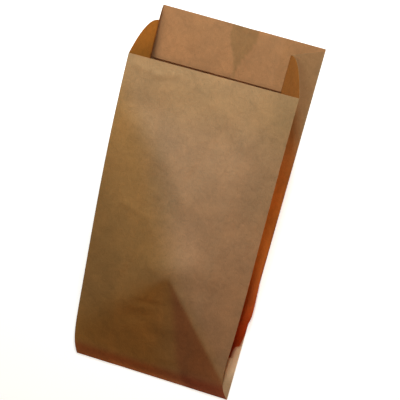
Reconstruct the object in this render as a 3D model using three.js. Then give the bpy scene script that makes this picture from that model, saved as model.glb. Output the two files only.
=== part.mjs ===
import * as THREE from "three";

// A paper bread bag: one kraft sheet made into a tube, with a gusset tucked in down each side and the
// bottom pinched shut. It lies on its back panel with the front panel up and the mouth towards +Y.
// The origin is the middle of the back panel's underside. The back panel runs on past the front as a lip.

const BAG_WIDTH = 150;
const BACK_LENGTH = 340;
const LIP_LENGTH = 42;
const GUSSET_WIDTH = 33;
const PAPER = 0.2;
const AIR_GAP = 0.1;
const SEAM_DEPTH = 3;
const PRESSED_SHARE = 0.4;

// How the mouth is cut: the gussets' edges drop from the lip's corners to the front panel's corners.
const CREASE_DROP = 11;
const CUT_CURVE = 2.2;

// How far each side stands open at the mouth, as a share of the gusset's full width, and how slowly it
// starts to open above the seam.
const LEFT_OPENING = 0.92;
const RIGHT_OPENING = 0.71;
const LEFT_OPENING_CURVE = 1.3;
const RIGHT_OPENING_CURVE = 1.05;

// The height of each gusset's crease, as a share of the height of the front panel's edge above it.
const LEFT_CREASE_SHARE = 0.535;
const RIGHT_CREASE_SHARE = 0.42;

// The front panel has slid to the left, and reaches that shift a short way above the seam. Its right edge
// is drawn in a little more, furthest at the height of TUCK_PEAK.
const SIDE_SHIFT = 7.3;
const SHIFT_RUN = 13;
const RIGHT_TUCK = 3;
const TUCK_PEAK = 18;

// How far past the gussets the front panel comes down from lying on them to lying on the back panel.
const DRAPE_RUN = 10;

// The front panel's swell, and the flat facet that runs down to the seam from a ridge in the swell. The
// ridge rises from each side to the apex. Its heights are measured from the seam.
const SWELL = 13;
const SWELL_REACH = 0.6;
const APEX_ACROSS = 0.53;
const APEX_HEIGHT = 110;
const RIDGE_LEFT_HEIGHT = 40;
const RIDGE_RIGHT_HEIGHT = 17;

// The right gusset's back half arches out just above the seam, and lies flat below that.
const ARCH_PUSH = 11;
const ARCH_HEIGHT = 12;
const ARCH_START = 56;
const ARCH_FULL = 88;
const ARCH_END = 200;
const FOOT_WIDTH = 12;
const FOOT_START = 44;
const FOOT_END = 70;
const LEAST_FOOT = 0.6;

// A shallow pleat in the middle of the lip.
const PLEAT_LENGTH = 48;
const PLEAT_HEIGHT = 2.6;
const PLEAT_MIDDLE = 6;
const PLEAT_WIDTH = 26;

// Soft dents in the front panel: across and along are shares of its width and length.
const DENTS = [
  { across: 0.2, along: 0.86, width: 0.16, length: 0.05, depth: 1.1 },
  { across: 0.55, along: 0.8, width: 0.12, length: 0.09, depth: 0.9 },
  { across: 0.82, along: 0.62, width: 0.1, length: 0.12, depth: 0.8 },
  { across: 0.37, along: 0.2, width: 0.08, length: 0.03, depth: 0.8 },
];

// Mesh divisions. The panels' outer wings have as many as the gussets that lie between them.
const GUSSET_STEPS = 5;
const MIDDLE_STEPS = 12;
const LENGTH_STEPS = 30;

const FRONT_LENGTH = BACK_LENGTH - LIP_LENGTH;
const HALF_WIDTH = BAG_WIDTH / 2;
const LEFT_HEIGHT = LEFT_OPENING * 2 * GUSSET_WIDTH;
const RIGHT_HEIGHT = RIGHT_OPENING * 2 * GUSSET_WIDTH;

// Heights of the stacked layers where the bag is pressed flat, from the underside up.
const FOLD_HEIGHT = 2 * PAPER + AIR_GAP;
const UPPER_LAYER = FOLD_HEIGHT + AIR_GAP;
const STACK_HEIGHT = 4 * PAPER + 3 * AIR_GAP;

const { clamp, lerp, smoothstep } = THREE.MathUtils;

function alongFront(fromSeam) {
  return clamp((fromSeam - SEAM_DEPTH) / (FRONT_LENGTH - SEAM_DEPTH), 0, 1);
}

// The height of the front panel's left (-1) or right (1) edge above the pressed stack.
function edgeRise(side, fromSeam) {
  const open = Math.sin(alongFront(fromSeam) * Math.PI / 2);
  if (side < 0) return LEFT_HEIGHT * open ** LEFT_OPENING_CURVE;
  return RIGHT_HEIGHT * open ** RIGHT_OPENING_CURVE;
}

function sideShift(fromSeam) {
  return SIDE_SHIFT * (1 - Math.exp(-fromSeam / SHIFT_RUN));
}

function dentDepth(across, along) {
  let depth = 0;
  for (const dent of DENTS) {
    const sideways = (across - dent.across) / dent.width;
    const lengthways = (along - dent.along) / dent.length;
    depth += dent.depth * Math.exp(-sideways * sideways - lengthways * lengthways);
  }
  return depth;
}

function swollenRise(across, fromSeam) {
  const along = alongFront(fromSeam);
  const swell = SWELL * Math.sin(Math.PI * across) * Math.sin(Math.PI * along ** SWELL_REACH);
  return lerp(edgeRise(-1, fromSeam), edgeRise(1, fromSeam), across) + swell;
}

// The front panel's height above the pressed stack. Below the ridge it runs straight down to the seam.
function creasedRise(across, fromSeam) {
  const leftSide = lerp(RIDGE_LEFT_HEIGHT, APEX_HEIGHT, across / APEX_ACROSS);
  const rightSide = lerp(RIDGE_RIGHT_HEIGHT, APEX_HEIGHT, (1 - across) / (1 - APEX_ACROSS));
  const ridge = Math.min(leftSide, rightSide);
  if (fromSeam >= ridge) return swollenRise(across, fromSeam);
  const down = clamp((fromSeam - SEAM_DEPTH) / (ridge - SEAM_DEPTH), 0, 1);
  return swollenRise(across, ridge) * down;
}

function frontRise(across, fromSeam) {
  const along = alongFront(fromSeam);
  return creasedRise(across, fromSeam) - dentDepth(across, along) * smoothstep(along, 0, 0.15);
}

function frontPoint(across, fromSeam) {
  const slant = edgeRise(-1, fromSeam) - edgeRise(1, fromSeam);
  const tuck = RIGHT_TUCK * (fromSeam / TUCK_PEAK) * Math.exp(1 - fromSeam / TUCK_PEAK);
  const reach = Math.sqrt(BAG_WIDTH ** 2 - slant ** 2) - tuck;
  const x = -HALF_WIDTH - sideShift(fromSeam) + reach * across;
  const fromSide = Math.min(across, 1 - across) * BAG_WIDTH;
  const draped = smoothstep(fromSide, GUSSET_WIDTH, GUSSET_WIDTH + DRAPE_RUN);
  const base = lerp(STACK_HEIGHT, FOLD_HEIGHT, draped);
  return new THREE.Vector2(x, base + frontRise(across, fromSeam));
}

// The pleat stands up from the lip's cut edge and runs out towards the front panel.
function backPoint(across, fromSeam) {
  const x = lerp(-HALF_WIDTH, HALF_WIDTH, across);
  const along = clamp((fromSeam - BACK_LENGTH + PLEAT_LENGTH) / PLEAT_LENGTH, 0, 1);
  const fromRidge = Math.abs(x - PLEAT_MIDDLE) / (PLEAT_WIDTH / 2 * (0.4 + 0.6 * along));
  return new THREE.Vector2(x, PLEAT_HEIGHT * along * Math.max(0, 1 - fromRidge));
}

function creasePoint(side, fromSeam) {
  const share = side < 0 ? LEFT_CREASE_SHARE : RIGHT_CREASE_SHARE;
  const height = Math.min(share * edgeRise(side, fromSeam), 0.99 * GUSSET_WIDTH);
  const depth = Math.sqrt(GUSSET_WIDTH ** 2 - height ** 2);
  return new THREE.Vector2(side * (HALF_WIDTH - depth), height);
}

// The upper half of a gusset, from the front panel's edge (0) to the crease (1).
function upperHalfPoint(side, share, fromSeam) {
  const edge = frontPoint(side < 0 ? 0 : 1, fromSeam);
  edge.y -= STACK_HEIGHT;
  const point = edge.lerp(creasePoint(side, fromSeam), share);
  point.y += UPPER_LAYER;
  return point;
}

// The lower half of a gusset, from the back panel's edge (0) to the crease (1).
function lowerHalfPoint(side, share, fromSeam) {
  const crease = creasePoint(side, fromSeam);
  if (side < 0) {
    const straight = new THREE.Vector2(-HALF_WIDTH, 0).lerp(crease, share);
    straight.y += FOLD_HEIGHT;
    return straight;
  }
  if (share === 0) return new THREE.Vector2(HALF_WIDTH, FOLD_HEIGHT);
  const flat = 1 - smoothstep(fromSeam, FOOT_START, FOOT_END);
  const arch = smoothstep(fromSeam, ARCH_START, ARCH_FULL) * (1 - smoothstep(fromSeam, ARCH_FULL, ARCH_END));
  const foot = new THREE.Vector2(HALF_WIDTH - LEAST_FOOT - FOOT_WIDTH * flat, 0);
  const bend = foot.clone().lerp(crease, 0.5);
  bend.x = lerp(bend.x, foot.x + ARCH_PUSH, arch);
  bend.y = lerp(bend.y, ARCH_HEIGHT, arch);
  const along = (share - 1 / GUSSET_STEPS) / (1 - 1 / GUSSET_STEPS);
  const first = foot.lerp(bend, along);
  const second = bend.lerp(crease, along);
  const point = first.lerp(second, along);
  point.y += FOLD_HEIGHT;
  return point;
}

function backEnd() {
  return BACK_LENGTH;
}

function frontEnd() {
  return FRONT_LENGTH;
}

function lowerHalfEnd(share) {
  return BACK_LENGTH - CREASE_DROP * share;
}

function upperHalfEnd(share) {
  return BACK_LENGTH - CREASE_DROP - (LIP_LENGTH - CREASE_DROP) * (1 - share) ** CUT_CURVE;
}

// Shares across a panel: closer together over the gussets, which lie under its two wings.
function panelShares() {
  const wing = (GUSSET_WIDTH + PAPER) / BAG_WIDTH;
  const shares = [];
  for (let step = 0; step < GUSSET_STEPS; step += 1) shares.push(wing * step / GUSSET_STEPS);
  for (let step = 0; step < MIDDLE_STEPS; step += 1) shares.push(lerp(wing, 1 - wing, step / MIDDLE_STEPS));
  for (let step = 0; step <= GUSSET_STEPS; step += 1) shares.push(lerp(1 - wing, 1, step / GUSSET_STEPS));
  return shares;
}

function gussetShares() {
  return Array.from({ length: GUSSET_STEPS + 1 }, (unused, step) => step / GUSSET_STEPS);
}

// The ribs run lengthways and go once round the tube: across the front, in and out along the right
// gusset, back across the back panel, and in and out along the left gusset.
function makeStrips() {
  const across = panelShares();
  const halves = gussetShares();
  const rib = (place, share, end) => ({ at: (fromSeam) => place(share, fromSeam), end: end(share) });
  const upper = (side) => (share, fromSeam) => upperHalfPoint(side, share, fromSeam);
  const lower = (side) => (share, fromSeam) => lowerHalfPoint(side, share, fromSeam);
  return {
    front: across.map((share) => rib(frontPoint, share, frontEnd)),
    rightUpper: halves.map((share) => rib(upper(1), share, upperHalfEnd)),
    rightLower: halves.map((share) => rib(lower(1), share, lowerHalfEnd)).reverse(),
    back: across.map((share) => rib(backPoint, share, backEnd)).reverse(),
    leftLower: halves.map((share) => rib(lower(-1), share, lowerHalfEnd)),
    leftUpper: halves.map((share) => rib(upper(-1), share, upperHalfEnd)).reverse(),
  };
}

// The inner face at one rib: the outer face moved inwards by the paper's thickness.
function innerPoint(ribs, index, fromSeam) {
  const count = ribs.length;
  const here = ribs[index].at(fromSeam);
  const before = here.clone().sub(ribs[(index + count - 1) % count].at(fromSeam)).normalize();
  const after = ribs[(index + 1) % count].at(fromSeam).sub(here).normalize();
  const inward = new THREE.Vector2(before.y + after.y, -before.x - after.x);
  return here.addScaledVector(inward, PAPER / (1 + before.dot(after)));
}

class Shell {
  constructor() {
    this.points = [];
    this.faces = [];
  }

  addPoint(flat, fromSeam) {
    this.points.push(flat.x, fromSeam - BACK_LENGTH / 2, flat.y);
    return this.points.length / 3 - 1;
  }

  // A patch between two rows of points with the same count.
  addStrip(first, second) {
    for (let step = 0; step + 1 < first.length; step += 1) {
      this.faces.push(first[step], second[step], second[step + 1]);
      this.faces.push(first[step], second[step + 1], first[step + 1]);
    }
  }

  addFan(corner, row) {
    for (let step = 0; step + 1 < row.length; step += 1) this.faces.push(corner, row[step], row[step + 1]);
  }

  geometry() {
    const geometry = new THREE.BufferGeometry();
    geometry.setAttribute("position", new THREE.Float32BufferAttribute(this.points, 3));
    geometry.setIndex(this.faces);
    geometry.computeVertexNormals();
    return geometry;
  }
}

function closedRow(row) {
  return [...row, row[0]];
}

// One side of the sheet: rows of points from the seam to the cut edges at the mouth.
function addSide(shell, ribs, place) {
  const rows = [];
  for (let step = 0; step <= LENGTH_STEPS; step += 1) {
    const share = step / LENGTH_STEPS;
    rows.push(ribs.map((rib, index) => {
      const fromSeam = lerp(SEAM_DEPTH, rib.end, share);
      return shell.addPoint(place(index, fromSeam), fromSeam);
    }));
  }
  return rows;
}

// Names the strips of one row of points. Each runs from left to right.
function stripsOf(row, strips) {
  const named = {};
  let start = 0;
  for (const [name, ribs] of Object.entries(strips)) {
    named[name] = row.slice(start, start + ribs.length);
    start += ribs.length;
  }
  for (const name of ["rightUpper", "back", "leftUpper"]) named[name].reverse();
  return named;
}

// Ends the air space inside the bag, where the layers come together at the seam.
function closeInside(shell, row) {
  const { front, back, leftUpper, leftLower, rightUpper, rightLower } = row;
  const left = GUSSET_STEPS;
  const right = front.length - 1 - GUSSET_STEPS;
  shell.addStrip(leftUpper, front.slice(0, left + 1));
  shell.addStrip(back.slice(0, left + 1), leftLower);
  shell.addStrip(rightUpper, front.slice(right));
  shell.addStrip(back.slice(right), rightLower);
  shell.addStrip(back.slice(left + 1, right), front.slice(left + 1, right));
  const leftTips = [leftLower.at(-1), leftUpper.at(-1)];
  const rightTips = [rightUpper[0], rightLower[0]];
  shell.addFan(front[left + 1], [back[left + 1], back[left], ...leftTips, front[left]]);
  shell.addFan(front[right - 1], [front[right], ...rightTips, back[right], back[right - 1]]);
}

// Ends the two air spaces between the gussets' halves.
function closeGussets(shell, row) {
  shell.addStrip(row.leftLower, row.leftUpper);
  shell.addStrip(row.rightLower, row.rightUpper);
}

function seamRow(row) {
  const rightSide = [row.rightUpper.at(-1), row.rightLower.at(-1)];
  const leftSide = [row.leftLower[0], row.leftUpper[0]];
  return closedRow([...row.front, ...rightSide, ...row.back.slice().reverse(), ...leftSide]);
}

// The pressed seam: all layers as one, from where the air spaces end down to the bottom edge.
function addSeam(shell, row, strips) {
  const ribs = Object.values(strips).flat();
  const pressed = new THREE.Vector2(1, PRESSED_SHARE);
  const edge = stripsOf(ribs.map((rib) => shell.addPoint(rib.at(0).multiply(pressed), 0)), strips);
  shell.addStrip(seamRow(row), seamRow(edge));
  const { front, back, leftUpper, leftLower, rightUpper, rightLower } = edge;
  const last = front.length - 1;
  shell.addStrip(front.slice(1, last), back.slice(1, last));
  shell.addFan(front[1], [front[0], leftUpper[0], leftLower[0], back[0], back[1]]);
  shell.addFan(front[last - 1], [back[last - 1], back[last], rightLower.at(-1), rightUpper.at(-1), front[last]]);
}

function makeBagGeometry() {
  const strips = makeStrips();
  const ribs = Object.values(strips).flat();
  const shell = new Shell();
  const outer = addSide(shell, ribs, (index, fromSeam) => ribs[index].at(fromSeam));
  const inner = addSide(shell, ribs, (index, fromSeam) => innerPoint(ribs, index, fromSeam));
  for (let step = 0; step < LENGTH_STEPS; step += 1) {
    shell.addStrip(closedRow(outer[step + 1]), closedRow(outer[step]));
    shell.addStrip(closedRow(inner[step]), closedRow(inner[step + 1]));
  }
  shell.addStrip(closedRow(inner.at(-1)), closedRow(outer.at(-1)));
  closeInside(shell, stripsOf(inner[0], strips));
  closeGussets(shell, stripsOf(outer[0], strips));
  addSeam(shell, stripsOf(outer[0], strips), strips);
  return shell.geometry();
}

function kraftPaper() {
  return new THREE.MeshStandardMaterial({ color: 0x9d7a55, roughness: 0.85, metalness: 0, name: "kraft_paper" });
}

function makeBag() {
  const bag = new THREE.Mesh(makeBagGeometry(), kraftPaper());
  bag.name = "bread_bag";
  return bag;
}

const part = new THREE.Group();
part.name = "paper_bread_bag";
part.add(makeBag());

export default part;
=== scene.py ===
import math
from functools import partial

import bpy
import numpy as np
from bpy.props import FloatProperty, FloatVectorProperty, IntProperty, PointerProperty, StringProperty
from mathutils import Matrix, Vector


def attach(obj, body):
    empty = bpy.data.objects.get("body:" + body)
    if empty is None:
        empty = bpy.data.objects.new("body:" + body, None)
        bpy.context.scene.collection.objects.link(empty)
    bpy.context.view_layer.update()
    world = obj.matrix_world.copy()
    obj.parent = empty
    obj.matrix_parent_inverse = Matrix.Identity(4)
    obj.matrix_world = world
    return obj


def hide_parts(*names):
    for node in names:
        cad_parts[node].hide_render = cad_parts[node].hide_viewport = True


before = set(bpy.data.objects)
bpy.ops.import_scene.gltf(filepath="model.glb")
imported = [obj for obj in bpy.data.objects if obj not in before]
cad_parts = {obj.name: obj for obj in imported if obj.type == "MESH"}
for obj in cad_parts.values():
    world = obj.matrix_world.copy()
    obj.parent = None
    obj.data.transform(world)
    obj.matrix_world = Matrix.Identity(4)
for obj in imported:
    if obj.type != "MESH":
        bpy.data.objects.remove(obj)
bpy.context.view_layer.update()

bl_info = {
    "name": "Paper bread bag",
    "version": (1, 0, 0),
    "blender": (4, 5, 0),
    "location": "View3D > Sidebar > Bread bag",
    "description": "A gusseted kraft paper bread bag that lies on its back",
    "category": "Object",
}

MM = 0.001


def linear(hex_colour):
    """An sRGB hex colour as the linear values that Blender's sockets take."""
    channels = [int(hex_colour[i:i + 2], 16) / 255 for i in (0, 2, 4)]
    return tuple(c / 12.92 if c <= 0.04045 else ((c + 0.055) / 1.055) ** 2.4 for c in channels)


def length(name, description, default_mm):
    """A length property in metres, with its default given in millimetres."""
    return FloatProperty(name=name, description=description, default=default_mm * MM, min=0,
                         unit="LENGTH", subtype="DISTANCE", precision=4)


def share(name, description, default):
    """A property that is a share of something else."""
    return FloatProperty(name=name, description=description, default=default)


def power(name, description, watts):
    """A lamp's power."""
    return FloatProperty(name=name, description=description, default=watts, min=0, unit="POWER")


def hex_text(name, description, default):
    """A colour, written as an sRGB hex number."""
    return StringProperty(name=name, description=description + ", as an sRGB hex number", default=default)


def spot(name, description, default):
    """A place in the frame, in metres."""
    return FloatVectorProperty(name=name, description=description, default=default,
                               unit="LENGTH", subtype="TRANSLATION")


def smooth(value, low, high):
    """Rises smoothly from 0 at low to 1 at high."""
    t = np.clip((value - low) / (high - low), 0, 1)
    return t * t * (3 - 2 * t)


def mix(first, second, amount):
    """The value that lies the given share of the way from first to second."""
    return first + (second - first) * amount


class BagShape(bpy.types.PropertyGroup):
    """Sizes of the bag, the same as the solid's."""

    width: length("Width", "Width of the front and back panels", 150)
    back_length: length("Back length", "Length of the back panel", 340)
    lip: length("Lip", "How far the back panel runs on past the front", 42)
    gusset: length("Gusset", "Width of each half of a gusset", 33)
    paper: length("Paper", "Thickness of the sheet", 0.2)
    air: length("Air", "Least gap between layers", 0.1)
    seam: length("Seam", "Depth of the pressed band at the bottom", 3)
    pressed: share("Pressed", "Share of the stack's height that is left at the bottom edge", 0.4)
    crease_drop: length("Crease drop", "Drop of the cut edge from the lip's corner to a gusset's crease", 11)
    cut_curve: share("Cut curve", "Power of the curve of the gussets' cut edges", 2.2)
    left_opening: share("Left opening", "How far the left side stands open at the mouth", 0.92)
    right_opening: share("Right opening", "How far the right side stands open at the mouth", 0.71)
    left_curve: share("Left curve", "How slowly the left side opens above the seam", 1.3)
    right_curve: share("Right curve", "How slowly the right side opens above the seam", 1.05)
    left_crease: share("Left crease", "Height of the left crease, as a share of the edge above it", 0.535)
    right_crease: share("Right crease", "Height of the right crease, as a share of the edge above it", 0.42)
    shift: length("Shift", "How far the front panel has slid to the left", 7.3)
    shift_run: length("Shift run", "Height above the seam over which the shift comes in", 13)
    drape_run: length("Drape run", "Run over which the front comes down from the gussets to the back", 10)
    tuck: length("Tuck", "How far the front's right edge is drawn in near the seam", 3)
    tuck_peak: length("Tuck peak", "Height above the seam where the tuck is greatest", 18)
    swell: length("Swell", "Height of the front panel's swell", 13)
    swell_reach: share("Swell reach", "Power that moves the swell towards the seam", 0.6)
    apex_across: share("Apex across", "Place of the ridge's top across the front", 0.53)
    apex: length("Apex", "Height of the ridge's top above the seam", 110)
    ridge_left: length("Ridge left", "Height of the ridge at the left side", 40)
    ridge_right: length("Ridge right", "Height of the ridge at the right side", 17)
    ridge_rounding: length("Ridge rounding", "How far the ridge's top is rounded", 3)
    ridge_soft_left: length("Soft ridge left", "How soft the ridge is at the left side", 16)
    ridge_soft: length("Soft ridge", "How soft the ridge is from its top to the right side", 2.5)
    arch_push: length("Arch push", "How far the right gusset's arch is pushed out", 11)
    arch_height: length("Arch height", "Height of the right gusset's arch", 12)
    arch_start: length("Arch start", "Height above the seam where the arch begins", 56)
    arch_full: length("Arch full", "Height above the seam where the arch is greatest", 88)
    arch_end: length("Arch end", "Height above the seam where the arch has gone", 200)
    foot: length("Foot", "Width of the leaf where the right gusset lies flat", 12)
    least_foot: length("Least foot", "Width of the flat strip beside the fold", 0.6)
    foot_start: length("Foot start", "Height above the seam up to which the leaf is at full width", 44)
    foot_end: length("Foot end", "Height above the seam where the leaf has gone", 70)
    pleat_length: length("Pleat length", "Length of the pleat in the lip", 48)
    pleat_height: length("Pleat height", "Height of the pleat at the cut edge", 2.6)
    pleat_middle: length("Pleat middle", "Place of the pleat, from the middle to the right", 6)
    pleat_width: length("Pleat width", "Width of the pleat at the cut edge", 26)
    bend_left: length("Bend left", "How far inside the front's cut edge the back is bent, at the left", 5.6)
    bend_right: length("Bend right", "The same at the right", 4.2)
    bend_height: length("Bend height", "Height of the lip above the back panel at that bend", 1.5)
    bend_run: length("Bend run", "Length of the steep part of that bend", 1)
    bend_fade: length("Bend fade", "Width at each side fold over which the bend fades out", 6)
    grid: length("Grid", "Spacing of the mesh along and across the sheet", 2.2)
    ripple: length("Ripple", "Height of the paper's soft waves", 0.5)
    crumple: length("Crumple", "Height of the paper's small creases", 0.22)
    seed: IntProperty(name="Seed", description="Seed of the waves and creases", default=11, min=0)


# The strips of the sheet, in order round the tube.
FRONT, RIGHT_UPPER, RIGHT_LOWER, BACK, LEFT_LOWER, LEFT_UPPER = range(6)

# Soft dents in the front panel: across, along, width, length (shares of the panel) and depth in mm.
DENTS = (
    (0.2, 0.86, 0.16, 0.05, 1.1),
    (0.55, 0.8, 0.12, 0.09, 0.9),
    (0.82, 0.62, 0.1, 0.12, 0.8),
    (0.37, 0.2, 0.08, 0.03, 0.8),
)

# Folds in the front panel, from one place to another: share across and mm above the seam of each end, then
# height and half width in mm.
FOLDS = (
    (0.04, 290, 0.19, 286, 0.45, 3.0),
    (0.19, 286, 0.31, 291, 0.45, 3.0),
    (0.50, 297, 0.53, 274, 0.40, 4.0),
    (0.10, 185, 0.16, 167, 0.20, 4.0),
    (0.16, 167, 0.32, 161, 0.20, 4.0),
    (0.32, 161, 0.43, 134, 0.20, 4.0),
    (0.50, 82, 0.53, 52, 0.40, 3.0),
    (0.36, 76, 0.50, 79, -0.45, 3.5),
    (0.42, 14, 0.66, 24, 0.25, 3.0),
    (0.05, 248, 0.33, 216, 0.70, 10.0),
    (0.33, 216, 0.52, 182, 0.70, 10.0),
    (0.40, 116, 0.74, 122, 0.80, 14.0),
    (0.62, 268, 0.95, 232, 0.50, 9.0),
)

# Where the painted shade on the front panel's left part ends: mm above the seam and share across.
SAG_LINE = ((0, 0.62), (112, 0.54), (143, 0.46), (187, 0.35), (221, 0.25), (258, 0.06), (300, -0.1))

# Light and shade painted into the paper's colour in places, as factors of linear red, green and blue.
# Front panel: painted shade that makes the left part darker and yellower, painted light that makes the middle
# lighter and pinker, painted shade at the right edge, a painted highlight above the ridge, painted shade that
# makes the facet below the ridge and the hollow there darker and redder, and dark painted shade along the
# seam.
LEFT_PAINTED_SHADE = (1.04, 0.93, 0.66)
MIDDLE_PAINTED_LIGHT = (1.05, 1.07, 1.22)
RIGHT_EDGE_PAINTED_SHADE = (0.86, 0.88, 0.85)
RIDGE_PAINTED_HIGHLIGHT = (1.2, 1.24, 1.3)
FACET_PAINTED_SHADE = (0.88, 0.74, 0.5)
HOLLOW_PAINTED_SHADE = (0.9, 0.7, 0.8)
SEAM_PAINTED_SHADE = (0.9, 0.5, 0.4)
# Gussets: a painted glow of the light that comes through, more orange in the shade under the front and redder
# towards the seam, and painted shade at the mouth.
GUSSET_PAINTED_GLOW = (1.36, 0.96, 0.45)
GUSSET_PAINTED_RED_SHADE = (0.75, 0.2, 0.05)
GUSSET_MOUTH_PAINTED_SHADE = (0.76, 0.78, 0.78)
RIGHT_INNER_PAINTED_SHADE = (0.78, 0.6, 0.26)
LEFT_INNER_PAINTED_SHADE = (0.92, 0.78, 0.26)
# Lip: painted shade in the pleat's crease and beside the right gusset. Then painted light on the right
# gusset's leaf.
PLEAT_PAINTED_SHADE = (0.8, 0.84, 0.78)
LIP_EDGE_PAINTED_SHADE = (0.95, 0.94, 0.9)
LEAF_PAINTED_LIGHT = (1.65, 2.05, 2.7)


class Sheet:
    """The bag's outer face as functions of the place across a strip and the height above the seam."""

    def __init__(self, shape):
        self.s = shape
        self.half = shape.width / 2
        self.front_length = shape.back_length - shape.lip
        self.fold = 2 * shape.paper + shape.air
        self.upper_layer = self.fold + shape.air
        self.stack = 4 * shape.paper + 3 * shape.air

    def along(self, y):
        """The share of the way from the seam to the front's cut edge."""
        return np.clip((y - self.s.seam) / (self.front_length - self.s.seam), 0, 1)

    def edge_rise(self, side, y):
        """Height of the front panel's left or right edge."""
        opened = np.sin(self.along(y) * math.pi / 2)
        if side < 0:
            return self.s.left_opening * 2 * self.s.gusset * opened ** self.s.left_curve
        return self.s.right_opening * 2 * self.s.gusset * opened ** self.s.right_curve

    def swollen(self, u, y):
        """Height of the front panel where the ridge doesn't hold it down."""
        swell = self.s.swell * np.sin(math.pi * u) * np.sin(math.pi * self.along(y) ** self.s.swell_reach)
        return mix(self.edge_rise(-1, y), self.edge_rise(1, y), u) + swell

    def ridge(self, u):
        """Height above the seam where the flat facet meets the swell."""
        left = mix(self.s.ridge_left, self.s.apex, u / self.s.apex_across)
        right = mix(self.s.ridge_right, self.s.apex, (1 - u) / (1 - self.s.apex_across))
        rounding = self.s.ridge_rounding
        return -rounding * np.logaddexp(-left / rounding, -right / rounding)

    def front_rise(self, u, y):
        """Height of the front panel: a flat facet from the seam to the ridge, then the swell, with dents."""
        ridge = self.ridge(u)
        soft = mix(self.s.ridge_soft_left, self.s.ridge_soft, smooth(u, 0.2, self.s.apex_across))
        top = ridge + soft * np.logaddexp(0, (y - ridge) / soft)
        up_to_ridge = np.clip((y - self.s.seam) / (top - self.s.seam), 0, 1)
        rise = self.swollen(u, np.minimum(top, self.front_length)) * up_to_ridge
        for across, along, wide, long, depth in DENTS:
            fade = np.exp(-((u - across) / wide) ** 2 - ((self.along(y) - along) / long) ** 2)
            rise = rise - depth * MM * fade * smooth(self.along(y), 0, 0.15)
        return rise

    def front(self, u, y):
        """Place of the front panel, which keeps its width as it slants and has slid to the left."""
        slant = self.edge_rise(-1, y) - self.edge_rise(1, y)
        tuck = self.s.tuck * (y / self.s.tuck_peak) * np.exp(1 - y / self.s.tuck_peak)
        reach = np.sqrt(self.s.width ** 2 - slant ** 2) - tuck
        x = -self.half - self.s.shift * (1 - np.exp(-y / self.s.shift_run)) + reach * u
        from_side = np.minimum(u, 1 - u) * self.s.width
        draped = smooth(from_side, self.s.gusset, self.s.gusset + self.s.drape_run)
        return x, mix(self.stack, self.fold, draped) + self.front_rise(u, y)

    def back(self, u, y):
        """Place of the back panel, which lies flat up to the bend and the pleat in its lip."""
        x = mix(-self.half, self.half, u)
        along = np.clip((y - self.s.back_length + self.s.pleat_length) / self.s.pleat_length, 0, 1)
        away = np.abs(x - self.s.pleat_middle) / (self.s.pleat_width / 2 * (0.4 + 0.6 * along))
        pleat = self.s.pleat_height * along * np.maximum(0, 1 - away)
        bend = self.bend_place(u)
        places = [bend - self.s.bend_run, bend, self.s.back_length]
        lifted = np.interp(y, places, [0, self.s.bend_height, 0])
        return x, pleat + lifted * smooth(np.minimum(u, 1 - u) * self.s.width, 0, self.s.bend_fade)

    def bend_place(self, u):
        """Height above the seam where the back panel is bent up into the lip."""
        return self.front_length - mix(self.s.bend_left, self.s.bend_right, u)

    def back_rows(self, u, even):
        """Heights of the back's rows, with one row on the bend and one just below it."""
        row = int(np.argmin(np.abs(even * self.s.back_length - self.bend_place(0.5))))
        bend = self.bend_place(u)
        places = [0, bend - self.s.bend_run, bend, self.s.back_length]
        return np.interp(even, [0, even[row - 1], even[row], 1], places)

    def crease(self, side, y):
        """Place of the fold down the middle of a gusset."""
        height_share = self.s.left_crease if side < 0 else self.s.right_crease
        almost_upright = 0.99 * self.s.gusset
        height = np.minimum(height_share * self.edge_rise(side, y), almost_upright)
        return side * (self.half - np.sqrt(self.s.gusset ** 2 - height ** 2)), height

    def upper_half(self, side, u, y):
        """Place of the half of a gusset that hangs from the front panel."""
        x, z = self.front(0.0 if side < 0 else 1.0, y)
        crease_x, crease_z = self.crease(side, y)
        return mix(x, crease_x, u), mix(z - self.stack, crease_z, u) + self.upper_layer

    def lower_half(self, side, u, y):
        """Place of the half of a gusset that stands on the back panel. The right one arches out."""
        crease_x, crease_z = self.crease(side, y)
        if side < 0:
            return mix(-self.half, crease_x, u), crease_z * u + self.fold
        flat = 1 - smooth(y, self.s.foot_start, self.s.foot_end)
        fading = 1 - smooth(y, self.s.arch_full, self.s.arch_end)
        arch = smooth(y, self.s.arch_start, self.s.arch_full) * fading
        foot = self.half - self.s.least_foot - self.s.foot * flat
        bend_x = mix((foot + crease_x) / 2, foot + self.s.arch_push, arch)
        bend_z = mix(crease_z / 2, self.s.arch_height, arch)
        # The first fifth is the flat strip beside the fold, and the rest is a curve through the bend.
        strip = 0.2
        t = np.clip((u - strip) / (1 - strip), 0, 1)
        x = mix(mix(foot, bend_x, t), mix(bend_x, crease_x, t), t)
        z = mix(bend_z * t, mix(bend_z, crease_z, t), t)
        return mix(self.half, x, np.clip(u / strip, 0, 1)), z + self.fold

    def lower_end(self, u):
        """Where the cut edge is, from the lip's corner to a gusset's crease."""
        return self.s.back_length - self.s.crease_drop * u

    def upper_end(self, u):
        """Where the cut edge is, from the front panel's corner to a gusset's crease."""
        drop = self.s.crease_drop + (self.s.lip - self.s.crease_drop) * (1 - u) ** self.s.cut_curve
        return self.s.back_length - drop

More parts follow.
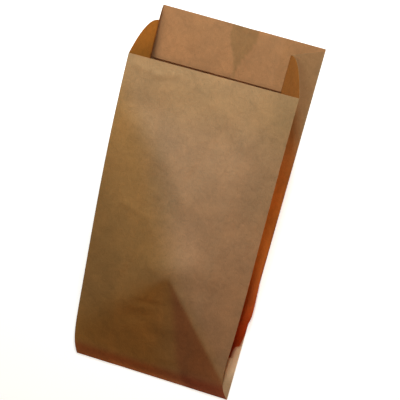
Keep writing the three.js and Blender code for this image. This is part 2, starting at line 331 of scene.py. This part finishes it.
    def strips(self):
        """The six strips in order round the tube: function, shares, ends, and place on the flat sheet."""
        s = self.s
        panel = np.linspace(0, 1, round(s.width / s.grid) + 1)
        half = np.linspace(0, 1, round(s.gusset / s.grid) + 1)
        panel_back, half_back = panel[::-1], half[::-1]
        full = np.ones_like(panel)
        wide, deep = s.width, s.gusset
        return (
            (self.front, panel, self.front_length * full, wide * panel),
            (partial(self.upper_half, 1), half, self.upper_end(half), wide + deep * half),
            (partial(self.lower_half, 1), half_back, self.lower_end(half_back),
             wide + deep * (2 - half_back)),
            (self.back, panel_back, s.back_length * full, wide + 2 * deep + wide * (1 - panel_back)),
            (partial(self.lower_half, -1), half, self.lower_end(half), 2 * wide + 2 * deep + deep * half),
            (partial(self.upper_half, -1), half_back, self.upper_end(half_back),
             2 * wide + 3 * deep + deep * (1 - half_back)),
        )


def lattice_noise(points, size, seed):
    """Smooth noise between -1 and 1 over a plane, from random values one size apart."""
    cells_wide, cells_deep = 96, 88
    values = np.random.default_rng(seed).uniform(-1, 1, (cells_wide + 1, cells_deep + 1))
    place = points / size
    cell = np.floor(place).astype(int)
    t = place - cell
    t = t * t * (3 - 2 * t)
    i, j = cell[..., 0] % cells_wide, cell[..., 1] % cells_deep
    low = mix(values[i, j], values[i + 1, j], t[..., 0])
    high = mix(values[i, j + 1], values[i + 1, j + 1], t[..., 0])
    return mix(low, high, t[..., 1])


def turned(points, degrees):
    """The points turned about the origin."""
    angle = math.radians(degrees)
    cosine, sine = math.cos(angle), math.sin(angle)
    x, y = points[..., 0], points[..., 1]
    return np.stack([x * cosine - y * sine, x * sine + y * cosine], -1)


def fold_relief(shape, flat):
    """The front panel's folds, as a height at each place on the flat sheet."""
    height = np.zeros(flat.shape[:-1])
    for across, low, other_across, other_low, rise, spread in FOLDS:
        start = np.array([across * shape.width, low * MM])
        run = np.array([other_across * shape.width, other_low * MM]) - start
        share_along = np.clip(((flat - start) @ run) / (run @ run), 0, 1)
        away = np.linalg.norm(flat - start - share_along[..., None] * run, axis=-1)
        height += rise * MM * np.exp(-(away / (spread * MM)) ** 2)
    return height


def paper_relief(shape, flat):
    """Soft waves and small straight-sided creases, as a height at each place on the flat sheet."""
    broad = lattice_noise(turned(flat, 20), 38 * MM, shape.seed)
    narrow = lattice_noise(turned(flat, -35), 17 * MM, shape.seed + 1)
    waves = broad + 0.5 * narrow
    # Three sets of creases, each with its spacing in mm, its angle in degrees and its weight.
    crease_sets = ((31, 12, 1.0), (22, 57, 0.8), (13, -28, 0.5))
    softness = 0.12
    creases = 0
    for number, (size, angle, weight) in enumerate(crease_sets):
        fold = lattice_noise(turned(flat, angle), size * MM, shape.seed + 5 + number)
        creases = creases - weight * np.sqrt(fold ** 2 + softness)
    return shape.ripple * waves / 1.5 + shape.crumple * (creases + 0.8) + fold_relief(shape, flat)


def painted_shading_tint(sheet, number, u, y):
    """Light and shade painted into the paper's colour: linear red, green and blue factors at each height."""
    tint = np.ones((len(y), 3))

    def paint_shading(amount, factors):
        """Brings the tint that share of the way to its product with the factors."""
        tint[:] = tint * (1 + (np.array(factors) - 1) * np.broadcast_to(amount, y.shape)[:, None])

    if number == FRONT:
        ridge = sheet.ridge(u)
        line = np.interp(y / MM, *zip(*SAG_LINE))
        # The left part's painted shade fades into the middle's painted light, which is gone near the mouth.
        paint_shading(1 - smooth(u, line - 0.14, line + 0.1), LEFT_PAINTED_SHADE)
        centre = smooth(u, line - 0.05, line + 0.2) * (1 - smooth(y, 225 * MM, 280 * MM))
        paint_shading(centre * smooth(y, ridge, ridge + 20 * MM), MIDDLE_PAINTED_LIGHT)
        # Painted shade at the right edge.
        paint_shading(smooth(u, 0.72, 0.98) * smooth(y, 150 * MM, 210 * MM), RIGHT_EDGE_PAINTED_SHADE)
        # A painted highlight just above the ridge's top.
        painted_highlight = 1 - smooth(np.hypot((u - 0.55) * sheet.s.width, 0.7 * (y - 138 * MM)), 5 * MM, 30 * MM)
        paint_shading(painted_highlight * smooth(y, ridge, ridge + 10 * MM), RIDGE_PAINTED_HIGHLIGHT)
        # The facet's painted shade fades in softly at the left, where the ridge is soft too, and ends at the
        # seam.
        blur = mix(30 * MM, 4 * MM, smooth(u, 0.2, sheet.s.apex_across))
        paint_shading((1 - smooth(y, ridge - blur, ridge + blur)) * smooth(y, 0, 20 * MM), FACET_PAINTED_SHADE)
        # The painted shade in the hollow widens down to the seam, between a slanting line and the ridge's
        # right side.
        hollow_left = mix(0.73, 0.57, (y - 6 * MM) / (90 * MM))
        below = 1 - smooth(y, ridge - 4 * MM, ridge + 2 * MM)
        paint_shading(smooth(u, hollow_left - 0.04, hollow_left + 0.03) * below, HOLLOW_PAINTED_SHADE)
        # Painted shade, darker and redder, along the seam and a little further up than the seam is deep.
        paint_shading(1 - smooth(y, 7 * MM, 17 * MM), SEAM_PAINTED_SHADE)
    # The leaf beside the fold is longest at the fold itself.
    leaf_end = 66 * MM - 195 * MM * u
    if number in (RIGHT_UPPER, RIGHT_LOWER):
        # Painted glow: the light that comes through the gusset and back from the inside is painted in as
        # orange, and red towards the seam.
        shaded = smooth(y, leaf_end - 1 * MM, leaf_end + 2 * MM)
        paint_shading(shaded * (1 - smooth(y, 190 * MM, 290 * MM)), GUSSET_PAINTED_GLOW)
        paint_shading(shaded * (1 - smooth(y, 60 * MM, 170 * MM)), GUSSET_PAINTED_RED_SHADE)
    # Painted shade on the gussets at the mouth, darker and more orange.
    if number in (RIGHT_UPPER, LEFT_LOWER, LEFT_UPPER):
        paint_shading(smooth(y, 240 * MM, 270 * MM), RIGHT_INNER_PAINTED_SHADE if number == RIGHT_UPPER else LEFT_INNER_PAINTED_SHADE)
    if number == BACK:
        # The painted shade in the pleat's crease fans out towards the cut edge.
        middle = abs(mix(-sheet.half, sheet.half, u) - sheet.s.pleat_middle + 4 * MM)
        spread = mix(2 * MM, 13 * MM, smooth(y, 300 * MM, 335 * MM))
        on_lip = smooth(y, 290 * MM, 300 * MM)
        paint_shading(on_lip * (1 - smooth(middle, spread - 1 * MM, spread)), PLEAT_PAINTED_SHADE)
        # Painted shade on the lip beside the right gusset.
        paint_shading(on_lip * smooth(u, 0.75, 0.77) * (1 - smooth(u, 0.9, 1)), LIP_EDGE_PAINTED_SHADE)
    if number == RIGHT_LOWER:
        # Painted light on the leaf, strongest at its outer end.
        leaf_light = 1 - smooth(y, leaf_end - 1 * MM, leaf_end + 2 * MM)
        # Painted shade on this half near the mouth.
        paint_shading(smooth(y, 240 * MM, 268 * MM), GUSSET_MOUTH_PAINTED_SHADE)
        paint_shading(leaf_light * mix(0.4, 1.6, smooth(y, 12 * MM, 40 * MM)), LEAF_PAINTED_LIGHT)
    return tint


def grid_normals(points):
    """Normals of a grid of points that is closed round its first axis."""
    round_way = np.roll(points, -1, axis=0) - np.roll(points, 1, axis=0)
    long_way = np.gradient(points, axis=1)
    normal = np.cross(round_way, long_way)
    return normal / np.maximum(np.linalg.norm(normal, axis=-1, keepdims=True), 1e-12)


def sheet_grid(shape):
    """Points, flat places and tints of the sheet's outer face, as a grid round and along the tube."""
    sheet = Sheet(shape)
    rows = round(shape.back_length / shape.grid) + 1
    even = np.linspace(0, 1, rows)
    columns, places, numbers, free, tints = [], [], [], [], []
    for number, (place, shares, ends, across) in enumerate(sheet.strips()):
        for u, end, flat_x in zip(shares, ends, across):
            y = sheet.back_rows(u, even) if number == BACK else end * even
            x, z = place(u, y)
            pressed = mix(shape.pressed, 1, np.clip(y / shape.seam, 0, 1))
            columns.append(np.stack([x * np.ones_like(y), y - shape.back_length / 2, z * pressed], -1))
            places.append(np.stack([flat_x * np.ones_like(y), y], -1))
            numbers.append(number)
            tints.append(painted_shading_tint(sheet, number, u, y))
            # The waves and creases die out at the folds and towards the seam.
            from_fold = min(u, 1 - u) * (shape.width if number in (FRONT, BACK) else shape.gusset)
            free.append(smooth(from_fold, 0, 7 * MM) * smooth(y, 6 * MM, 45 * MM))
    points, flat, free = np.array(columns), np.array(places), np.array(free)
    # The back lies flat on the table: only its lip has waves, at a third of their height, and only upwards.
    on_back = (np.array(numbers) == BACK)[:, None]
    lying = np.where(on_back, 0.35, 1.0)
    near_lip = smooth(flat[..., 1], sheet.front_length - 30 * MM, sheet.front_length)
    height = paper_relief(shape, flat) * free * lying * np.where(on_back, near_lip, 1.0)
    height = np.where(on_back, -np.abs(height), height)
    return points + grid_normals(points) * height[..., None], flat, np.array(tints)


def lay_out(mesh, shape, flat, first_of_last):
    """Gives each corner of a face its place on the flat sheet, in metres, as a UV map."""
    corner = np.empty(len(mesh.loops), np.int32)
    mesh.loops.foreach_get("vertex_index", corner)
    uv = flat.reshape(-1, 2)[corner].astype(np.float32)
    # The last row of faces closes the tube, so its far side lies one turn further round.
    perimeter = 2 * shape.width + 4 * shape.gusset
    corners_of_face = 4
    closing = np.arange(len(corner)) >= first_of_last * corners_of_face
    uv[closing & (uv[:, 0] < shape.width / 2), 0] += perimeter
    mesh.uv_layers.new(name="SheetMetres").data.foreach_set("uv", uv.ravel())


def mark_folds(mesh):
    """Marks the folds and the cut edges as sharp, so that the paper's faces meet there at a line."""
    mesh.shade_smooth()
    mesh.set_sharp_from_angle(angle=math.radians(40))
    uses = np.zeros(len(mesh.edges), int)
    edge_of_corner = np.empty(len(mesh.loops), np.int32)
    mesh.loops.foreach_get("edge_index", edge_of_corner)
    np.add.at(uses, edge_of_corner, 1)
    for edge in np.flatnonzero(uses == 1):
        mesh.edges[int(edge)].use_edge_sharp = True


def sheet_mesh(shape):
    """The sheet's outer face as a tube of quads that is open at both ends."""
    points, flat, tints = sheet_grid(shape)
    count, rows = points.shape[:2]
    mesh = bpy.data.meshes.new("bread_bag_sheet")
    faces = []
    for i in range(count):
        k = (i + 1) % count
        for j in range(rows - 1):
            faces.append((i * rows + j, k * rows + j, k * rows + j + 1, i * rows + j + 1))
    mesh.from_pydata(points.reshape(-1, 3).tolist(), [], faces)
    lay_out(mesh, shape, flat, (count - 1) * (rows - 1))
    tint_layer = mesh.color_attributes.new(name="PaintedShadingTint", type="FLOAT_COLOR", domain="POINT")
    with_alpha = np.concatenate([tints.reshape(-1, 3), np.ones((count * rows, 1))], 1).astype(np.float32)
    tint_layer.data.foreach_set("color", with_alpha.ravel())
    mark_folds(mesh)
    mesh.validate()
    return mesh


class PaperLook(bpy.types.PropertyGroup):
    """How the kraft paper looks."""

    outside: hex_text("Outside", "Colour of the outer face", "b8946a")
    inside: hex_text("Inside", "Colour of the inner face", "b78458")
    glow: hex_text("Glow", "Colour that the pulp gives to the light that comes through", "e8a050")
    thinness: share("Thinness", "Share of the light that goes through each face", 0.22)


def add_node(tree, kind, settings=None, **inputs):
    """Adds a node, with its settings and with each input set to a value or linked to a socket."""
    node = tree.nodes.new(kind)
    for key, value in (settings or {}).items():
        setattr(node, key, value)
    for key, value in inputs.items():
        socket = node.inputs[int(key[1:])] if key[1:].isdigit() else node.inputs[key.replace("_", " ")]
        if isinstance(value, bpy.types.NodeSocket):
            tree.links.new(value, socket)
        else:
            socket.default_value = value
    return node


def colour(values):
    """Linear red, green and blue with an alpha of 1."""
    return (*values, 1.0)


def kraft_paper(name, base_hex, look):
    """Machine-made brown kraft paper: matt, with long fibres, small flecks and cloudy patches of tone."""
    material = bpy.data.materials.new(name)
    material.use_nodes = True
    tree = material.node_tree
    tree.nodes.clear()
    base = linear(base_hex)
    sheet = add_node(tree, "ShaderNodeUVMap", {"uv_map": "SheetMetres"}).outputs["UV"]

    # Cloudy formation of the pulp, in patches of about 30 mm and 6 mm.
    clouds = add_node(tree, "ShaderNodeTexNoise", Vector=sheet, Scale=1 / (30 * MM), Detail=4.0,
                      Roughness=0.6, Distortion=0.4)
    patches = add_node(tree, "ShaderNodeTexNoise", Vector=sheet, Scale=1 / (6 * MM), Detail=4.0,
                       Roughness=0.7, Distortion=1.2)
    # Fibres lie along the sheet: about 0.5 mm wide and 5 mm long.
    stretched = add_node(tree, "ShaderNodeMapping", Vector=sheet, Scale=(1 / (0.5 * MM), 1 / (5 * MM), 1))
    fibres = add_node(tree, "ShaderNodeTexNoise", Vector=stretched.outputs["Vector"], Scale=1.0, Detail=3.0,
                      Roughness=0.65)
    # Dark flecks of bark, about 1 mm across and 7 mm apart.
    specks = add_node(tree, "ShaderNodeTexVoronoi", Vector=sheet, Scale=1 / (7 * MM), Randomness=1.0)
    speck = add_node(tree, "ShaderNodeMapRange", Value=specks.outputs["Distance"], From_Min=0.03,
                     From_Max=0.12, To_Min=0.8, To_Max=1.0)

    # Small dark smudges, about 4 mm across and far apart, and painted shade along fine handling creases,
    # about 20 mm apart.
    spots = add_node(tree, "ShaderNodeTexNoise", Vector=sheet, Scale=1 / (9 * MM), Detail=2.0, Roughness=0.5,
                     Distortion=0.8)
    smudge = add_node(tree, "ShaderNodeMapRange", Value=spots.outputs["Fac"], From_Min=0.6, From_Max=0.72,
                      To_Min=1.0, To_Max=0.92)
    bent = add_node(tree, "ShaderNodeMix", {"data_type": "RGBA", "blend_type": "LINEAR_LIGHT"}, Factor=0.012,
                    _6=sheet, _7=spots.outputs["Color"])
    lines = add_node(tree, "ShaderNodeTexVoronoi", {"feature": "DISTANCE_TO_EDGE"}, Vector=bent.outputs[2],
                     Scale=1 / (20 * MM), Randomness=1.0)
    # Painted shade: darker along the creases' lines.
    crease = add_node(tree, "ShaderNodeMapRange", Value=lines.outputs["Distance"], From_Min=0.0,
                      From_Max=0.05, To_Min=0.93, To_Max=1.0)

    # The clouds change the tone by a tenth, the patches by a little less and the fibres by about 6 percent.
    tone = add_node(tree, "ShaderNodeMapRange", Value=clouds.outputs["Fac"], From_Min=0.3, From_Max=0.7,
                    To_Min=0.9, To_Max=1.1)
    patch = add_node(tree, "ShaderNodeMapRange", Value=patches.outputs["Fac"], From_Min=0.3, From_Max=0.7,
                     To_Min=0.91, To_Max=1.09)
    fibre = add_node(tree, "ShaderNodeMapRange", Value=fibres.outputs["Fac"], From_Min=0.3, From_Max=0.7,
                     To_Min=0.94, To_Max=1.06)
    level = tone
    for factor in (patch, fibre, speck, smudge, crease):
        level = add_node(tree, "ShaderNodeMath", {"operation": "MULTIPLY"}, _0=level.outputs[0],
                         _1=factor.outputs[0])
    # Where the pulp is denser the paper is also a little redder.
    warm = tuple(c * k for c, k in zip(base, (1.02, 0.97, 0.92)))
    cool = tuple(c * k for c, k in zip(base, (0.99, 1.02, 1.06)))
    hue = add_node(tree, "ShaderNodeMix", {"data_type": "RGBA"}, Factor=clouds.outputs["Fac"],
                   _6=colour(cool), _7=colour(warm))
    tinted = add_node(tree, "ShaderNodeMix", {"data_type": "RGBA", "blend_type": "MULTIPLY"}, Factor=1.0,
                      _6=hue.outputs[2], _7=level.outputs[0])

    # Light and shade painted into the sheet's colour, which also colour the light that comes through it.
    painted_shading = add_node(tree, "ShaderNodeVertexColor", {"layer_name": "PaintedShadingTint"})
    tinted = add_node(tree, "ShaderNodeMix", {"data_type": "RGBA", "blend_type": "MULTIPLY"}, Factor=1.0,
                      _6=tinted.outputs[2], _7=painted_shading.outputs["Color"])

    # The uncoated face is rough to about a tenth of a millimetre, more by the patches than by the fibres.
    height = add_node(tree, "ShaderNodeMath", {"operation": "MULTIPLY_ADD"}, _0=patches.outputs["Fac"],
                      _1=3.0, _2=fibres.outputs["Fac"])
    bump = add_node(tree, "ShaderNodeBump", Strength=0.6, Distance=0.12 * MM, Height=height.outputs[0])
    # Uncoated paper is matt, with only a weak sheen at low angles.
    face = add_node(tree, "ShaderNodeBsdfPrincipled", Base_Color=tinted.outputs[2], Roughness=0.78,
                    Specular_IOR_Level=0.25, IOR=1.5, Normal=bump.outputs["Normal"])
    glow = add_node(tree, "ShaderNodeMix", {"data_type": "RGBA", "blend_type": "MULTIPLY"}, Factor=1.0,
                    _6=colour(linear(look.glow)), _7=painted_shading.outputs["Color"])
    through = add_node(tree, "ShaderNodeBsdfTranslucent", Color=glow.outputs[2],
                       Normal=bump.outputs["Normal"])
    paper = add_node(tree, "ShaderNodeMixShader", _0=look.thinness, _1=face.outputs[0], _2=through.outputs[0])
    add_node(tree, "ShaderNodeOutputMaterial", Surface=paper.outputs[0])
    return material


def link(name, data):
    """Puts a new object with this data in the scene."""
    made = bpy.data.objects.new(name, data)
    bpy.context.scene.collection.objects.link(made)
    return made


class BREADBAG_OT_make_bag(bpy.types.Operator):
    """Make the bag's sheet with its paper, in place of the plain solid"""

    bl_idname = "breadbag.make_bag"
    bl_label = "Make bag"

    def execute(self, context):
        shape, look = context.scene.bag_shape, context.scene.paper_look
        bag = link("bread_bag_paper", sheet_mesh(shape))
        bag.data.materials.append(kraft_paper("kraft_paper_outer_face", look.outside, look))
        bag.data.materials.append(kraft_paper("kraft_paper_inner_face", look.inside, look))
        thickness = bag.modifiers.new("paper", "SOLIDIFY")
        thickness.thickness = shape.paper
        thickness.offset = -1
        thickness.material_offset = 1
        thickness.material_offset_rim = 0
        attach(bag, "root")
        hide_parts("bread_bag")
        return {"FINISHED"}


class StageLook(bpy.types.PropertyGroup):
    """The plain table, the lamps and the camera."""

    table: hex_text("Table", "Colour of the table", "f4f4f2")
    table_bounce: hex_text("Table bounce", "Colour of the light that the table throws back", "e6d2bd")
    table_glow: share("Table glow", "Extra brightness of the table for the camera alone", 0.6)
    table_reach: length("Table reach", "How far the table runs each way", 6000)
    table_gap: length("Table gap", "How far the table lies below the bag's underside", 0.6)
    main_place: spot("Main lamp", "Where the main lamp stands, at the mouth's end", (-0.035, 0.65, 0.375))
    main_power: power("Main lamp power", "Power of the main lamp", 4.5)
    main_colour: hex_text("Main lamp colour", "Colour of the main lamp", "ebfcff")
    main_size: length("Main lamp size", "Width of the main lamp", 110)
    side_place: spot("Side lamp", "Where the side lamp stands, low on the right", (0.88, 0.0, 0.19))
    side_power: power("Side lamp power", "Power of the side lamp", 2.8)
    side_colour: hex_text("Side lamp colour", "Colour of the side lamp", "ffb877")
    side_size: length("Side lamp size", "Width of the side lamp", 300)
    top_place: spot("Top lamp", "Where the upper lamp stands", (-0.05, 0.22, 0.8))
    top_power: power("Top lamp power", "Power of the upper lamp", 2.0)
    top_colour: hex_text("Top lamp colour", "Colour of the upper lamp", "fffaeb")
    top_size: length("Top lamp size", "Width of the upper lamp", 200)
    sky: share("Sky", "Strength of the even light from all sides", 0.08)
    sky_colour: hex_text("Sky colour", "Colour of the even light", "ffd2ab")
    lens: FloatProperty(name="Lens", description="Focal length", default=108, min=1, unit="CAMERA")
    sensor: FloatProperty(name="Sensor", description="Width of the sensor", default=36, min=1, unit="CAMERA")
    camera_place: spot("Camera", "Where the camera stands", (0.13, 0.2569, 1.0609))
    camera_target: spot("Target", "What the camera looks at", (0.0017, 0.0077, 0.0))
    camera_turn: FloatProperty(name="Camera turn", description="How far the camera is turned about its view",
                               default=math.radians(14.72), unit="ROTATION", subtype="ANGLE")


def look_matrix(place, target, upwards):
    """The matrix of something at place that looks along its -Z to target, with upwards towards its +Y."""
    back = (place - target).normalized()
    right = upwards.cross(back).normalized()
    turn = Matrix((right, back.cross(right), back)).transposed()
    return Matrix.Translation(place) @ turn.to_4x4()


def add_lamp(name, place, power, size, hex_colour):
    """Adds a round soft lamp that looks at the bag, and that the camera doesn't see."""
    lamp = bpy.data.lights.new(name, "AREA")
    lamp.energy, lamp.shape, lamp.size, lamp.color = power, "DISK", size, linear(hex_colour)
    holder = link(name, lamp)
    holder.matrix_world = look_matrix(Vector(place), Vector((0, 0, 0)), Vector((0, 0, 1)))
    holder.visible_camera = False


def table_material(stage):
    """A matt white laminate. It has no gloss, so it shows only the bag's soft shadow."""
    material = bpy.data.materials.new("matt_white_table_laminate")
    material.use_nodes = True
    tree = material.node_tree
    tree.nodes.clear()
    # The camera sees it plain white, and the bag gets its warmer light.
    warm = add_node(tree, "ShaderNodeBsdfDiffuse", Color=colour(linear(stage.table_bounce)))
    white = add_node(tree, "ShaderNodeBsdfDiffuse", Color=colour(linear(stage.table)))
    seen = add_node(tree, "ShaderNodeEmission", Color=(1, 1, 1, 1), Strength=stage.table_glow)
    both = add_node(tree, "ShaderNodeAddShader", _0=white.outputs[0], _1=seen.outputs[0])
    path = add_node(tree, "ShaderNodeLightPath")
    shown = add_node(tree, "ShaderNodeMixShader", _0=path.outputs["Is Camera Ray"], _1=warm.outputs[0],
                     _2=both.outputs[0])
    add_node(tree, "ShaderNodeOutputMaterial", Surface=shown.outputs[0])
    return material


class BREADBAG_OT_make_stage(bpy.types.Operator):
    """Make the table, the lamps and the camera"""

    bl_idname = "breadbag.make_stage"
    bl_label = "Make stage"

    def execute(self, context):
        stage = context.scene.bag_stage
        mesh = bpy.data.meshes.new("table")
        reach, low = stage.table_reach, -stage.table_gap
        corners = [(-reach, -reach, low), (reach, -reach, low), (reach, reach, low), (-reach, reach, low)]
        mesh.from_pydata(corners, [], [(0, 1, 2, 3)])
        table = link("table", mesh)
        mesh.materials.append(table_material(stage))

        add_lamp("main_lamp", stage.main_place, stage.main_power, stage.main_size, stage.main_colour)
        add_lamp("top_lamp", stage.top_place, stage.top_power, stage.top_size, stage.top_colour)
        add_lamp("side_lamp", stage.side_place, stage.side_power, stage.side_size, stage.side_colour)

        world = bpy.data.worlds.new("even_light")
        world.use_nodes = True
        background = world.node_tree.nodes["Background"]
        background.inputs["Color"].default_value = colour(linear(stage.sky_colour))
        background.inputs["Strength"].default_value = stage.sky
        context.scene.world = world

        camera = bpy.data.cameras.new("camera")
        camera.lens, camera.sensor_width = stage.lens, stage.sensor
        holder = link("camera", camera)
        up = Vector((-math.sin(stage.camera_turn), math.cos(stage.camera_turn), 0))
        holder.matrix_world = look_matrix(Vector(stage.camera_place), Vector(stage.camera_target), up)
        context.scene.camera = holder
        context.scene.view_settings.view_transform = "Standard"
        return {"FINISHED"}


class BREADBAG_PT_panel(bpy.types.Panel):
    """The bag's settings in the 3D view's sidebar"""

    bl_idname = "BREADBAG_PT_panel"
    bl_label = "Bread bag"
    bl_space_type = "VIEW_3D"
    bl_region_type = "UI"
    bl_category = "Bread bag"

    def draw(self, context):
        """Lists every setting, then the two operators."""
        layout = self.layout
        for settings in (context.scene.bag_shape, context.scene.paper_look, context.scene.bag_stage):
            box = layout.box()
            for name in settings.__annotations__:
                box.prop(settings, name)
        layout.operator("breadbag.make_bag")
        layout.operator("breadbag.make_stage")


CLASSES = (BagShape, PaperLook, StageLook, BREADBAG_OT_make_bag, BREADBAG_OT_make_stage, BREADBAG_PT_panel)


def register():
    """Makes the settings, the operators and the panel known to Blender."""
    for cls in CLASSES:
        bpy.utils.register_class(cls)
    bpy.types.Scene.bag_shape = PointerProperty(type=BagShape)
    bpy.types.Scene.paper_look = PointerProperty(type=PaperLook)
    bpy.types.Scene.bag_stage = PointerProperty(type=StageLook)


def unregister():
    """Takes them away again."""
    del bpy.types.Scene.bag_stage
    del bpy.types.Scene.paper_look
    del bpy.types.Scene.bag_shape
    for cls in reversed(CLASSES):
        bpy.utils.unregister_class(cls)


def main():
    """Builds the bag and its stage."""
    register()
    bpy.ops.breadbag.make_bag()
    bpy.ops.breadbag.make_stage()


if __name__ == "__main__":
    main()
